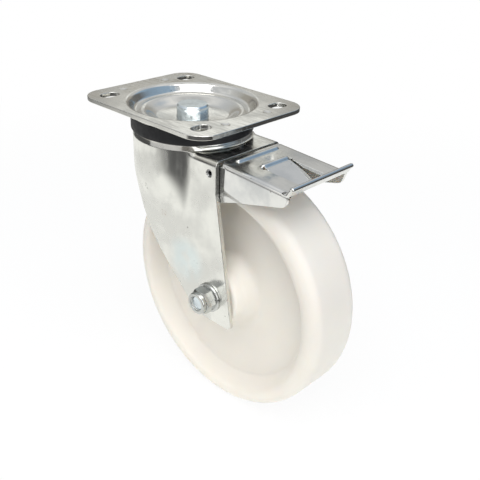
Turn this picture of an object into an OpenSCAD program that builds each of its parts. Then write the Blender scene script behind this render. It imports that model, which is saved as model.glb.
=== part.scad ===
// Swivel castor with a pedal brake: pressed top plate, one-piece pressed fork,
// solid white wheel on a roller bearing, and a pressed pedal with a brake tongue.
// Frame: the swivel axis is Z with the mounting face at z = 0, the axle runs
// along X, and the wheel trails towards -Y, where the pedal is.

/* [Overall] */
// Height from the floor to the mounting face
total_h = 240; // [232:1:260]
// Distance of the wheel axis behind the swivel axis
trail = 56; // [50:0.5:62]

/* [Top plate] */
// Width of the plate along the axle
plate_w = 114; // [110:1:130]
// Length of the plate along the trail
plate_l = 140; // [136:1:160]
// Sheet thickness of the plate
plate_t = 3.5; // [3:0.1:4]
// Corner radius of the plate
plate_corner_r = 17; // [8:1:20]
// Bolt spacing along the axle
bolt_x = 80; // [76:1:84]
// Bolt spacing along the trail
bolt_y = 105; // [104:1:112]
// Width of a bolt slot
slot_w = 11; // [8:0.5:12]
// Length of a bolt slot, end to end
slot_l = 16; // [13:0.5:20]
// Radius at which the flat plate turns down into its dish
dish_r = 52; // [51:0.5:53]
// Depth of the annular crest that carries the upper balls
crest_drop = 6.5; // [5.5:0.1:8]

/* [Swivel bearing] */
// Diameter of the upper balls
ball_d = 9; // [8:0.25:10]
// Pitch radius of the upper balls
race_r = 40; // [39.5:0.25:40.5]
// Diameter of the lower balls
lower_ball_d = 7; // [6:0.25:8]
// Pitch radius of the lower balls
lower_race_r = 30; // [29:0.25:31]
// Diameter of the kingpin
pin_d = 25; // [20:0.5:28]
// Depth of the kingpin's top below the mounting face
pin_top_drop = 2.5; // [1:0.1:4]
// Height of the kingpin's head under the lower race
pin_head_h = 4; // [3:0.25:5]

/* [Fork] */
// Sheet thickness of the fork
fork_t = 3.5; // [3:0.1:4]
// Half width over the outside of the legs
leg_half = 34; // [33.5:0.1:36]
// Radius of the round crown and its skirt
crown_r = 47; // [46.5:0.25:48]
// Height of the round crown above the flat ledge
boss_h = 7; // [6:0.25:8]
// Reach of the ledge behind the swivel axis
ledge_reach = 61.6; // [60:0.1:62]
// Height of the skirt in front, below the ledge
skirt_h = 18.5; // [15:0.5:22]
// Leg metal behind the axle
leg_rear = 21; // [18:0.5:24]
// Leg metal below the axle
leg_bottom = 21; // [18:0.5:24]
// Leg metal in front of the axle, square to the front edge
leg_front = 25.8; // [22:0.2:28]
// Slope of the leg's front edge
leg_angle = 43.6; // [40:0.2:46]

/* [Wheel] */
// Wheel diameter
wheel_d = 200; // [196:1:202]
// Tread width
wheel_w = 51; // [48:0.5:52]
// Rounding of the tread's edges
tread_r = 10; // [6:0.5:12]
// Radius at which the rim meets the web
web_r = 80; // [76:0.5:82]
// Thickness of the web
web_t = 21; // [16:0.5:24]
// Radius of the hub's end face
hub_r = 25; // [22:0.5:27]
// Radius of the hub's foot on the web
hub_foot_r = 38; // [34:0.5:42]
// Diameter of a bearing roller
roller_d = 4; // [3.5:0.1:4.5]
// Length of a bearing roller
roller_l = 46; // [40:1:48]
// Number of bearing rollers
roller_n = 14; // [10:1:15]

/* [Axle] */
// Thread diameter of the axle bolt
bolt_d = 12; // [10:0.5:13]
// Width across the flats of the nut and the bolt head
hex_af = 19; // [18:0.5:20]
// Height of the bolt head
head_h = 7.5; // [6:0.25:9]
// Height of the hexagonal part of the nut
nut_h = 9; // [8:0.25:11]
// Height of the nut's round locking collar
collar_h = 3.2; // [2.5:0.1:4]
// Diameter of the axle washers
washer_d = 24; // [22:0.5:28]
// Thickness of the axle washers
washer_t = 2.3; // [1.5:0.1:3]
// Outer diameter of the axle sleeve
sleeve_d = 20; // [18:0.5:21]
// Thickness of the hub's thrust washers
thrust_t = 1; // [0.8:0.1:1.2]

/* [Brake pedal] */
// Sheet thickness of the pedal
pedal_t = 2.6; // [2:0.1:3]
// Length of the pedal's flat top
pedal_l = 61.5; // [58:0.5:68]
// Slope of the pedal's top at rest
pedal_tilt = 3.1; // [2:0.1:4]
// Diameter of the pivot pin
pivot_d = 6; // [5:0.25:6.5]
// Height of the pivot above the top of the tread
pivot_rise = 4.9; // [4.7:0.1:5.6]
// Pivot's distance in front of the fork's rear edge
pivot_inset = 7.1; // [6:0.1:7.5]
// Half width of the brake tongue
tongue_half = 13; // [11:0.5:15]
// Length of the brake tongue
tongue_l = 30; // [26:0.5:31]
// Fall of the tongue below the pedal's top
tongue_fall = 15; // [13:0.25:15.5]
// Overhang of the lip beside each cheek
lip_over = 0.8; // [0:0.1:2]
// Rise of the lip above the pedal's top
lip_rise = 5; // [4:0.1:6]

/* [Hidden] */
$fn = 64;
eps = 0.02;                    // gap of a fixed fit
run = 0.05;                    // radial gap of a running fit
axial = 0.15;                  // end gap beside a turning part
seal_gap = 0.3;                // gap between the seal and the plate
groove = 1.5;                  // depth of the upper ball groove in the crown
lower_groove = 1;              // depth of the lower ball grooves
swivel_gap = 2;                // gap between the dish floor and the crown
cup_t = 3;                     // wall of the lower race cup
ridge_h = 0.7;                 // height of the crest over the valley round it
valley_drop = crest_drop + ridge_h;
floor_drop = crest_drop + ball_d - groove - swivel_gap;
ball_z = -(crest_drop + plate_t + ball_d / 2);
crown_z = ball_z - ball_d / 2 + groove;
ledge_z = crown_z - boss_h;
lower_ball_z = crown_z - fork_t + lower_groove - lower_ball_d / 2;
cup_z = lower_ball_z - lower_ball_d / 2 + lower_groove;
pin_hole_r = pin_d / 2 + eps;
pin_edge = 1.2;                // bevel of the kingpin's top
pin_head_over = 8;             // overhang of the kingpin's head
pin_head_edge = 1.5;
crown_hole_gap = 5;            // gap between the kingpin and the crown
crown_hole_r = pin_d / 2 + crown_hole_gap;
cup_over = 6;                  // race cup outside the lower balls' pitch
cup_rim = 2;
cup_r = lower_race_r + cup_over;
boss_step = 0.25;              // the crown stands in a little from the skirt
boss_edge = 2.5;               // rounding of the crown's edge
boss_r = crown_r - boss_step;
seal_wall = 1.65;
seal_lap = 1.6;                // how far the seal reaches in over the crown
seal_edge = 0.7;               // bevel of the seal's lower edge
seal_r = boss_r + seal_wall;
seal_drop = 20;                // depth of the seal's lower edge
axle_z = wheel_d / 2 - total_h;
axle = [trail, axle_z];
leg_in = leg_half - fork_t;
fold_r = 15;                   // hollow fold between the round skirt and the flat leg
bend_r = 4;                    // outside bend between the ledge and the legs
fade_top = ledge_z - skirt_h + 1;   // the skirt's bulge starts to fade into the leg here
fade_end = axle_z + 22;        // and is gone here
skirt_steps = 20;              // flats round half the skirt
fold_draw = 9;                 // length over which the ledge's bend starts at the fold
loft_over = 6;                 // the plans run past the foot and the rear edge before they are cut
sleeve_r = sleeve_d / 2;
roller_ring_r = sleeve_r + run + roller_d / 2;
bore_r = roller_ring_r + roller_d / 2 + run;
hub_half = leg_in - thrust_t - 2 * axial;
cage_end = 3;                  // the cage reaches this far past the rollers
cage_gap = 0.5;                // gap between the cage and the walls beside it
pocket_gap = 0.1;              // gap round a roller in its pocket
cage_half = roller_l / 2 + cage_end;
washer_x = leg_half + washer_t;
nut_x = washer_x + nut_h;
pivot = [ledge_reach - pivot_inset, axle_z + wheel_d / 2 + pivot_rise];
pivot_recess = 1;
pedal_gap = 2.6;               // gap between the ledge and the pedal's top
pedal_drop = 0.3;              // depth of the pedal's front edge below the ledge
pedal_start = [ledge_reach + pedal_gap, ledge_z - pedal_drop];
ear_gap = 0.5;                 // gap between an ear and its leg
ear_lap = 0.2;                 // how far the ears' sheet runs into the cheeks'
ear_out = leg_in - ear_gap;
ear_in = ear_out - pedal_t;
cheek_in = ear_out - ear_lap;
pedal_half = cheek_in + pedal_t;
lip_half = pedal_half + lip_over;
joggle = 1.2;                  // slope of the step from a cheek in to its ear
rib_r = 2.3;
rib_sink = 0.4;                // depth of a rib's middle below the pedal's top
rib_half = 20;                 // half length of the first cross rib
rib_1 = 6;                     // first cross rib, from the pedal's front edge
rib_2 = 23;                    // second cross rib, at the root of the tongue
tongue_root = rib_2 + 2.5;
cut_w = 1.2;                   // width of the cut beside the tongue
cut_end = 2;                   // width of the cut beyond the tongue's end
relief_r = 1.7;                // round ends of the cut

// Points of an arc round centre c, in degrees
function arc(c, r, a0, a1, n) = [for (i = [0:n]) let (a = a0 + (a1 - a0) * i / n) c + r * [cos(a), sin(a)]];

// Points of a cubic curve between p and s with the handles q and r, without its last point
function curve(p, q, r, s, n) = [for (i = [0:n - 1]) let (t = i / n, u = 1 - t)
    u * u * u * p + 3 * u * u * t * q + 3 * u * t * t * r + t * t * t * s];

// Smooth step from 0 to 1
function ease(t) = let (c = min(max(t, 0), 1)) c * c * (3 - 2 * c);

function reversed(list) = [for (i = [len(list) - 1:-1:0]) list[i]];

// Where two lines meet, each given by a point and a direction
function meet(p, d, q, e) = p + d * cross(q - p, e) / cross(d, e);

// Extrudes an outline drawn in (trail, height) to a width along X, centred
module side(width) rotate([90, 0, -90]) linear_extrude(width, center = true) children();

// A round bar along X from x0 to x1 on the axle
module on_axle(r, x0, x1) translate([x0, -trail, axle_z]) rotate([0, 90, 0]) cylinder(r = r, h = x1 - x0);

// A ring along X from x0 to x1 on the axle
module axle_ring(r_out, r_in, x0, x1) difference() {
    on_axle(r_out, x0, x1);
    on_axle(r_in, x0 - 1, x1 + 1);
}

// A ring of balls round the swivel axis
module ball_ring(d, r, z) for (i = [0:floor(360 / (2 * asin(d / 2 / r)) - 0.4) - 1])
    rotate(i * 360 / floor(360 / (2 * asin(d / 2 / r)) - 0.4)) translate([r, 0, z]) sphere(d = d);

// The groove that a ring of balls runs in
module ball_groove(d, r, z) rotate_extrude() translate([r, z]) circle(d / 2 + eps);

// Rectangle with round corners
module round_rect(w, l, r) {
    square([w - 2 * r, l], center = true);
    square([w, l - 2 * r], center = true);
    for (x = [-1, 1], y = [-1, 1]) translate([x * (w / 2 - r), y * (l / 2 - r)]) circle(r);
}

// Bolt slot, with its length along X
module slot() {
    square([slot_l - slot_w, slot_w], center = true);
    for (x = [-1, 1]) translate([x * (slot_l - slot_w) / 2, 0]) circle(d = slot_w);
}

// Hexagonal bar along X from x0 to x1, with both ends' corners turned off at 30 degrees
hex_in = 0.3;                  // the turned ends stand in from the flats
hex_turn = 30;                 // two corners stand level with the axle
module hex_bar(x0, x1) {
    corner_r = hex_af / 2 / cos(30);
    end_r = hex_af / 2 - hex_in;
    h = x1 - x0;
    turn = (corner_r - end_r) * tan(30);
    translate([x0, -trail, axle_z]) rotate([0, 90, 0]) intersection() {
        rotate(hex_turn) cylinder(r = corner_r, h = h, $fn = 6);
        rotate_extrude() polygon([[0, 0], [end_r, 0], [corner_r, turn], [corner_r, h - turn],
            [end_r, h], [0, h]]);
    }
}

// Section of the dish: a rounded shoulder, a valley, the crest over the balls and the floor round the pin
shoulder_in = 0.5;             // inner radius of the shoulder's bend
shoulder_r = plate_t + shoulder_in;
wall_a = 150;
wall_w = 8.2;                  // width of the outer wall
valley_r = 3;
valley_c = dish_r - wall_w;
ridge_w = 4.3;                 // from the valley up to the crest
crest_w = 0.5;
slope_w = 12;                  // from the crest down to the floor
slope_r = valley_c - ridge_w - crest_w;
seat_w = 4.8;                  // coined seat round the pin
seat_step = 0.5;
seat_r = pin_d / 2 + seat_w;
function dish_inner() = concat(
    [for (i = [0:8]) let (t = i / 8)
        [valley_c - ridge_w * t, -valley_drop + (valley_drop - crest_drop) * ease(t)]],
    [for (i = [1:12]) let (t = i / 12)
        [slope_r - slope_w * t, -crest_drop - (floor_drop - crest_drop) * (1 - cos(180 * t)) / 2]]);
function dish_top() = concat(arc([dish_r, -shoulder_r], shoulder_r, 90, wall_a, 6),
    arc([valley_c, valley_r - valley_drop], valley_r, wall_a - 180, -90, 6), dish_inner(),
    [[seat_r, -floor_drop], [seat_r - seat_step, -floor_drop - seat_step],
        [pin_hole_r, -floor_drop - seat_step]]);
function dish_under() = concat(arc([dish_r, -shoulder_r], shoulder_r - plate_t, 90, wall_a, 3),
    arc([valley_c, valley_r - valley_drop], valley_r + plate_t, wall_a - 180, -90, 8),
    [for (p = dish_inner()) p - [0, plate_t]], [[pin_hole_r, -floor_drop - plate_t]]);

// Round dents between the slots of each end
dent_in = 18;                  // from a slot's middle, along the axle
dent_out = 6;                  // and along the trail
dent_r = 8;
dent_rise = 7.2;               // height of the dent's centre over the plate

module top_plate() color("gainsboro") difference() {
    union() {
        difference() {
            translate([0, 0, -plate_t]) linear_extrude(plate_t)
                round_rect(plate_w, plate_l, plate_corner_r);
            translate([0, 0, -plate_t - 1]) cylinder(r = dish_r, h = plate_t + 2);
        }
        rotate_extrude() polygon(concat(dish_top(), reversed(dish_under())));
    }
    for (x = [-1, 1], y = [-1, 1]) translate([x * bolt_x / 2, y * bolt_y / 2, -plate_t - 1])
        linear_extrude(plate_t + 2) slot();
    for (x = [-1, 1], y = [-1, 1])
        translate([x * (bolt_x / 2 - dent_in), y * (bolt_y / 2 + dent_out), dent_rise]) sphere(r = dent_r);
    ball_groove(ball_d, race_r, ball_z);
}

pin_head_r = pin_d / 2 + pin_head_over;
pin_head_z = cup_z - cup_t - pin_head_h;
module kingpin() color("silver") rotate_extrude() polygon([[0, -pin_top_drop],
    [pin_d / 2 - pin_edge, -pin_top_drop], [pin_d / 2, -pin_top_drop - pin_edge],
    [pin_d / 2, cup_z - cup_t], [pin_head_r, cup_z - cup_t], [pin_head_r, pin_head_z + pin_head_edge],
    [pin_head_r - pin_head_edge, pin_head_z], [0, pin_head_z]]);

module upper_balls() color("lightsteelblue") ball_ring(ball_d, race_r, ball_z);

module lower_balls() color("lightsteelblue") ball_ring(lower_ball_d, lower_race_r, lower_ball_z);

module lower_race_cup() color("darkgray") difference() {
    rotate_extrude() polygon([[pin_hole_r, cup_z], [cup_r - cup_rim, cup_z],
        [cup_r - cup_rim, lower_ball_z], [cup_r, lower_ball_z], [cup_r, cup_z - cup_t + cup_rim],
        [cup_r - cup_rim, cup_z - cup_t], [pin_hole_r, cup_z - cup_t]]);
    ball_groove(lower_ball_d, lower_race_r, lower_ball_z);
}

// Plan of one side of the fork in (trail, width), inset from the outside:
// the round skirt, the hollow fold and the straight leg
function fork_half(inset, loft_end) = let (r = crown_r - inset, w = leg_half - inset, f = fold_r + inset,
        c = [sqrt(pow(r + f, 2) - pow(w + f, 2)), w + f], a = atan2(c[1], c[0]))
    concat(arc([0, 0], r, 180, a, skirt_steps), arc(c, f, a - 180, -90, 5), [[loft_end, w]]);

// Share of the skirt's bulge that is left at a height
function bulge(z) = 1 - ease((fade_top - z) / (fade_top - fade_end));

// The whole plan at a height: the bulge beside the leg fades out, and top_in draws in the straight part
function fork_ring(inset, loft_end, z, top_in) = let (w = leg_half - inset,
        fold = fork_half(inset, loft_end)[skirt_steps][0],
        half = [for (p = fork_half(inset, loft_end)) [p[0],
            (p[1] > w ? w + bulge(z) * (p[1] - w) : p[1]) - top_in * ease((p[0] - fold) / fold_draw)]])
    concat([for (p = half) [-p[1], -p[0], z]],
        [for (i = [len(half) - 1:-1:1]) [half[i][1], -half[i][0], z]]);

// Solid between the plans at a list of [height, top_in] levels, from the top down
module fork_loft(inset, loft_end, levels) {
    n = len(fork_ring(inset, loft_end, 0, 0));
    m = len(levels);
    polyhedron([for (l = levels) each fork_ring(inset, loft_end, l[0], l[1])], concat(
        [[for (j = [n - 1:-1:0]) j]],
        [for (i = [0:m - 2], j = [0:n - 1]) let (k = (j + 1) % n) each
            [[i * n + j, i * n + k, (i + 1) * n + k], [i * n + j, (i + 1) * n + k, (i + 1) * n + j]]],
        [[for (j = [0:n - 1]) (m - 1) * n + j]]), convexity = 6);
}

// Side view of the fork in (trail, height)
front_dir = [cos(leg_angle), -sin(leg_angle)];
front_point = axle - leg_front * [sin(leg_angle), cos(leg_angle)];
leg_foot_z = axle_z - leg_bottom;
front_corner = meet(front_point, front_dir, [0, leg_foot_z], [1, 0]);
front_l = 53;                  // straight part of the front edge above the axle
front_start = front_point - front_l * front_dir;
waist_in = 28;                 // the front edge's steepest point, from the skirt's front
waist_drop = 53.5;             // and below the ledge
waist = [-crown_r + waist_in, ledge_z - waist_drop];
waist_dir = [2, -20];          // handles of the curves beside that point
arch_w = 19;                   // handle of the arch over the wheel
blend_l = 15;                  // handle where the curve joins the straight front edge
rear_drop = 25;                // upright part of the rear edge
rear_top = [ledge_reach, ledge_z - rear_drop];
rear_dir = (axle + [leg_rear, 0] - rear_top) / norm(axle + [leg_rear, 0] - rear_top);
rear_foot = meet(rear_top, rear_dir, [0, leg_foot_z], [1, 0]);
tip_r = 9;                     // rounding of the leg's front corner
heel_r = 7;                    // rounding of the leg's rear corner
skirt_front = -crown_r - 1;
function fork_side() = concat(
    curve([skirt_front, ledge_z - skirt_h], [skirt_front + arch_w, ledge_z - skirt_h],
        waist - waist_dir, waist, 10),
    curve(waist, waist + waist_dir, front_start - blend_l * front_dir, front_start, 8),
    curve(front_corner - tip_r * front_dir, front_corner - tip_r / 4 * front_dir,
        front_corner + [tip_r / 4, 0], front_corner + [tip_r, 0], 5),
    curve(rear_foot - [heel_r, 0], rear_foot - [heel_r / 4, 0], rear_foot - heel_r / 4 * rear_dir,
        rear_foot - heel_r * rear_dir, 5),
    [rear_top, [ledge_reach, 0], [skirt_front, 0]]);

module fork() color("lightgray") {
    bend = [for (a = [0, 30, 60, 90]) [ledge_z - bend_r * (1 - cos(a)), bend_r * (1 - sin(a))]];
    body = [for (i = [0:6]) [fade_top + (fade_end - fade_top) * i / 6, 0]];
    foot_z = leg_foot_z - loft_over;
    rear = rear_foot[0] + loft_over;
    difference() {
        intersection() {
            union() {
                fork_loft(0, rear, concat(bend, body, [[foot_z, 0]]));
                rotate_extrude() polygon(concat([[0, ledge_z - fork_t], [boss_r, ledge_z - fork_t]],
                    arc([boss_r - boss_edge, crown_z - boss_edge], boss_edge, 0, 90, 5), [[0, crown_z]]));
            }
            side(2 * crown_r + 10) polygon(fork_side());
        }
        fork_loft(fork_t, rear + 1, concat([[ledge_z - fork_t, 0]], body, [[foot_z - 1, 0]]));
        translate([0, 0, ledge_z - fork_t - 1]) cylinder(r = boss_r - fork_t, h = boss_h + 1);
        translate([0, 0, ledge_z - 1]) cylinder(r = crown_hole_r, h = boss_h + 2);
        ball_groove(ball_d, race_r, ball_z);
        ball_groove(lower_ball_d, lower_race_r, lower_ball_z);
        on_axle(bolt_d / 2 + run, -leg_half - 20, leg_half + 20);
        translate([-leg_half - 20, -pivot[0], pivot[1]]) rotate([0, 90, 0])
            cylinder(r = pivot_d / 2 + eps, h = 2 * leg_half + 40);
    }
}

// Black ring that sits on the crown's edge and closes the gap under the plate
seal_in = boss_r - seal_lap;
function under_plate(r) = valley_r - valley_drop - seal_gap
    - sqrt(pow(valley_r + plate_t, 2) - pow(r - valley_c, 2));
module dust_seal() color("#2b2d33") rotate_extrude() polygon(concat(
    [[boss_r + eps, crown_z], [boss_r + eps, -seal_drop], [seal_r - seal_edge, -seal_drop],
        [seal_r, -seal_drop + 2 * seal_edge]],
    [for (i = [0:4]) let (r = seal_r - (seal_r - seal_in) * i / 4) [r, under_plate(r)]],
    [[seal_in, crown_z]]));

module axle_bolt() color("silver") {
    hex_bar(washer_x, washer_x + head_h);
    on_axle(bolt_d / 2, -nut_x - collar_h + bolt_short, washer_x + 1);
}

module bolt_washer() color("silver") axle_ring(washer_d / 2, bolt_d / 2 + run, leg_half, washer_x);

module nut_washer() color("silver") axle_ring(washer_d / 2, bolt_d / 2 + run, -washer_x, -leg_half);

// Self-locking nut: hexagon with a round collar that is rolled in over the insert
insert_wall = 1.6;
insert_r = bolt_d / 2 + insert_wall;
collar_in = 0.5;               // the collar stands in from the nut's flats
collar_r = 2;                  // rounding of the collar
collar_rim = 0.8;              // metal rolled in over the insert
bolt_short = 1.4;              // the bolt ends this far inside the collar
module axle_nut() color("dimgray") difference() {
    union() {
        hex_bar(-nut_x, -washer_x);
        translate([-nut_x + 1, -trail, axle_z]) rotate([0, -90, 0]) rotate_extrude()
            polygon(concat([[0, 0], [hex_af / 2 - collar_in, 0]],
                arc([hex_af / 2 - collar_in - collar_r, collar_h + 1 - collar_r], collar_r, 0, 90, 5),
                [[0, collar_h + 1]]));
    }
    on_axle(bolt_d / 2 + eps, -nut_x - collar_h - 1, -washer_x + 1);
    on_axle(insert_r, -nut_x - collar_h + collar_rim, -nut_x);
}

module nut_insert() color("whitesmoke")
    axle_ring(insert_r - eps, bolt_d / 2 + eps, -nut_x - collar_h + collar_rim, -nut_x);

module axle_sleeve() color("gray") axle_ring(sleeve_r, bolt_d / 2 + run, -leg_in, leg_in);

thrust_over = 4;               // the thrust washers lap the hub's end by this much
module thrust_washer(sign) {
    x = sign * (leg_in - axial - thrust_t / 2);
    axle_ring(bore_r + thrust_over, sleeve_r + run, x - thrust_t / 2, x + thrust_t / 2);
}
module near_thrust_washer() color("silver") thrust_washer(-1);
module far_thrust_washer() color("silver") thrust_washer(1);

// Slotted spring pin, set in a little from the faces of the legs
pivot_wall = 1.2;
pivot_slot = 0.9;
module pivot_pin() color("gray") translate([0, -pivot[0], pivot[1]]) rotate([0, 90, 0]) difference() {
    cylinder(d = pivot_d, h = 2 * (leg_half - pivot_recess), center = true);
    cylinder(d = pivot_d - 2 * pivot_wall, h = 2 * leg_half, center = true);
    translate([pivot_d / 2, 0, 0]) cube([pivot_d, pivot_slot, 2 * leg_half], center = true);
}

// Half section of the wheel in (radius, width): hub, web and rim, one moulding
bore_edge = 1;
hub_edge = 3;                  // rounding of the hub's end
hub_slope = 7;                 // height of the curve that leads from the hub into the web
web_fillet = 3;
rim_edge = 5;                  // rounding of the rim's inner edge
rim_flat = 0.5;                // flat of the rim's side between its two roundings
rim_lean = 62;                 // slope of the rim's inner side
rim_in = wheel_d / 2 - tread_r - rim_flat;
function wheel_half() = concat(
    [[bore_r, 0], [bore_r, hub_half - bore_edge], [bore_r + bore_edge, hub_half]],
    arc([hub_r - hub_edge, hub_half - hub_edge], hub_edge, 90, 15, 5),
    curve([hub_r + 1, hub_half - hub_slope], [hub_r + 5, web_t / 2 + hub_slope],
        [hub_foot_r - hub_slope, web_t / 2], [hub_foot_r, web_t / 2], 8),
    [[hub_foot_r, web_t / 2]],
    arc([web_r - web_fillet, web_t / 2 + web_fillet], web_fillet, -90, rim_lean - 90, 4),
    arc([rim_in, wheel_w / 2 - rim_edge], rim_edge, rim_lean + 90, 90, 5),
    arc([wheel_d / 2 - tread_r, wheel_w / 2 - tread_r], tread_r, 90, 0, 10), [[wheel_d / 2, 0]]);

module wheel() color("#f5efe4") translate([0, -trail, axle_z]) rotate([0, 90, 0]) rotate_extrude($fn = 128)
    polygon(concat(wheel_half(), [for (p = reversed(wheel_half())) if (p[1] > 0) [p[0], -p[1]]]));

// Cage with a pocket for each roller
module roller_cage() color("seagreen") difference() {
    axle_ring(bore_r - cage_gap, sleeve_r + cage_gap, -cage_half, cage_half);
    roller_ring(roller_d / 2 + pocket_gap, roller_l / 2 + 2 * pocket_gap);
}
module roller_ring(r, half) translate([0, -trail, axle_z]) rotate([0, 90, 0])
    for (i = [0:roller_n - 1]) rotate(i * 360 / roller_n) translate([roller_ring_r, 0, 0])
        cylinder(r = r, h = 2 * half, center = true);
module rollers() color("lightsteelblue") roller_ring(roller_d / 2, roller_l / 2);

// Places a piece drawn from the middle of the pedal's front edge, with its top at z = 0
module on_pedal() translate([0, -pedal_start[0], pedal_start[1]]) rotate([pedal_tilt, 0, 0]) children();

// Folded channel: flat top and two cheeks, drawn in (width, height)
pedal_bend = 3.2;
pedal_deep = 40;               // depth of the channel before its cheeks are cut
module pedal_section() difference() {
    union() {
        translate([-pedal_half, -pedal_deep]) square([2 * pedal_half, pedal_deep - pedal_bend]);
        translate([-pedal_half + pedal_bend, -pedal_deep])
            square([2 * (pedal_half - pedal_bend), pedal_deep]);
        for (x = [-1, 1]) translate([x * (pedal_half - pedal_bend), -pedal_bend]) circle(pedal_bend);
    }
    translate([-cheek_in, -pedal_deep - 1]) square([2 * cheek_in, pedal_deep + 1 - pedal_t]);
}

// Side view of a cheek in (trail, height)
cheek_set = 1;                 // the cheeks start behind the top's front edge
cheek_step_h = 20.5;           // depth of a cheek below the ledge at its front
cheek_low_l = 21;              // from there to its lowest point
cheek_low_h = 24.5;            // depth of that point
cheek_over = 3;                // the cheeks run on past the foot of the lip
cheek_rear_h = 14.3;           // depth of a cheek's rear lower corner
cheek_rear_r = 5;              // rounding of that corner
cheek_rear_in = 3.5;           // the rear edge leans forwards to that corner
cheek_lean_h = 4;              // depth at which the lean starts
cheek_front = pedal_start[0] + cheek_set;
cheek_rear = pedal_start[0] + pedal_l + cheek_over;
cheek_step = [cheek_front, ledge_z - cheek_step_h];
cheek_low = [cheek_front + cheek_low_l, ledge_z - cheek_low_h];
cheek_rear_low = [cheek_rear - cheek_rear_in, ledge_z - cheek_rear_h];
cheek_rear_top = [cheek_rear, ledge_z - cheek_lean_h];
rear_rise = (cheek_rear_low - cheek_low) / norm(cheek_rear_low - cheek_low);
rear_lean = (cheek_rear_top - cheek_rear_low) / norm(cheek_rear_top - cheek_rear_low);
function cheek_side() = concat(
    [[pedal_start[0], 0], [pedal_start[0], cheek_step[1]], cheek_step, cheek_low],
    curve(cheek_rear_low - cheek_rear_r * rear_rise, cheek_rear_low - cheek_rear_r / 4 * rear_rise,
        cheek_rear_low + cheek_rear_r / 8 * rear_lean, cheek_rear_low + cheek_rear_r / 2 * rear_lean, 4),
    [cheek_rear_low + cheek_rear_r / 2 * rear_lean, cheek_rear_top, [cheek_rear, 0]]);

// Bar with round ends across the pedal's top
module rib(s, half) translate([0, -s, -rib_sink]) rotate([0, 90, 0]) rotate_extrude()
    polygon(concat(arc([0, half], rib_r, 90, 0, 8), arc([0, -half], rib_r, 0, -90, 8)));

// The ears between the fork's legs, which the pin passes through, in (trail, height)
ear_r = 6.3;
ear_fall = 9.5;                // depth of the ears' lower corner below the cheeks
ear_low_in = 3;
ear_low = [pivot[0] + ear_low_in, cheek_low[1] - ear_fall];
ear_tuck = 4;                  // the ears' sheet runs this far behind the cheeks
module ear_side() {
    translate(pivot) circle(ear_r);
    polygon([pivot + [0, ear_r], [cheek_front + ear_tuck, pivot[1] + ear_r],
        cheek_step + ear_tuck * [1, 0.75], cheek_low + ear_tuck * [-1, 0.75],
        cheek_low - ear_tuck * [0.25, 0.1], ear_low, pivot + ear_r * [-1, -0.15]]);
}

// Room for the pedal's top and cheeks beside a step, in (width, distance): the cheeks start with a slope
step_in = cheek_in - ear_lap / 2;
step_w = pedal_half + 1;
step_d = (step_w - step_in) * joggle;
step_far = pedal_l + 20;
function step_room() = [[-step_w, step_d], [-step_in, 0], [2 - step_in, -step_far],
    [step_in - 2, -step_far], [step_in, 0], [step_w, step_d], [step_w, step_far], [-step_w, step_far]];

// The slopes run down the cheeks' front edges and along their lower front edges
module joggle_room() intersection() {
    translate([0, -cheek_front, -wheel_d / 2]) rotate(180) linear_extrude(wheel_d / 2) polygon(step_room());
    translate([0, -cheek_step[0], cheek_step[1]])
        rotate([atan2(cheek_step[1] - cheek_low[1], cheek_low[0] - cheek_step[0]), 0, 0])
        rotate([90, 0, 0]) linear_extrude(wheel_d, center = true) polygon(step_room());
}

// Turned-up lip with a rolled edge, in (trail, height) from the rear of the pedal's top
lip_lean = 62;
lip_roll = 0.4;                // how far the rolled edge stands out of the sheet
lip_root = 3;                  // the lip's sheet runs this far into the pedal's top
module lip_side() {
    top = [lip_rise / tan(lip_lean) + pedal_t * 0.58, lip_rise];
    out = pedal_t / 2 * [sin(lip_lean), -cos(lip_lean)];
    polygon([[-lip_root, 0], [0, 0], top - out, top + out, [pedal_t, -pedal_t], [-lip_root, -pedal_t]]);
    translate(top) circle(pedal_t / 2 + lip_roll);
}

module brake_pedal() color("#cfd6dc") difference() {
    union() {
        difference() {
            intersection() {
                on_pedal() rotate([90, 0, 0]) linear_extrude(pedal_l + 2 * cheek_over) pedal_section();
                side(2 * pedal_half + 2) polygon(cheek_side());
                joggle_room();
            }
            on_pedal() translate([-cheek_in, -pedal_l - 3 * cheek_over, -2 * pedal_t])
                cube([2 * cheek_in, 3 * cheek_over, 3 * pedal_t]);
            on_pedal() translate([0, -tongue_root, -2 * pedal_t]) {
                translate([-tongue_half - cut_w, -tongue_l - cut_end, 0])
                    cube([2 * (tongue_half + cut_w), tongue_l + cut_end, 3 * pedal_t]);
                for (x = [-1, 1]) translate([x * (tongue_half + cut_w), 0, 0])
                    cylinder(r = relief_r, h = 3 * pedal_t);
            }
        }
        on_pedal() {
            rib(rib_1, rib_half);
            rib(rib_2, tongue_half - 1);
            translate([0, -tongue_root, 0]) rotate([tongue_fall, 0, 0])
                translate([-tongue_half, -tongue_l, -pedal_t])
                    cube([2 * tongue_half, tongue_l + cut_end, pedal_t]);
            translate([0, -pedal_l, 0]) side(2 * lip_half) lip_side();
        }
        for (x = [-1, 1]) translate([x * (ear_in + ear_out) / 2, 0, 0]) side(pedal_t) ear_side();
    }
    translate([0, -pivot[0], pivot[1]]) rotate([0, 90, 0])
        cylinder(r = pivot_d / 2 + run, h = 2 * leg_half, center = true);
}

top_plate();
kingpin();
upper_balls();
lower_balls();
lower_race_cup();
fork();
dust_seal();
axle_bolt();
bolt_washer();
nut_washer();
axle_nut();
nut_insert();
axle_sleeve();
near_thrust_washer();
far_thrust_washer();
pivot_pin();
wheel();
roller_cage();
rollers();
brake_pedal();
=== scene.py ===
import math

import bpy
import numpy as np
from mathutils import Matrix
from mathutils.geometry import delaunay_2d_cdt


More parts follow.
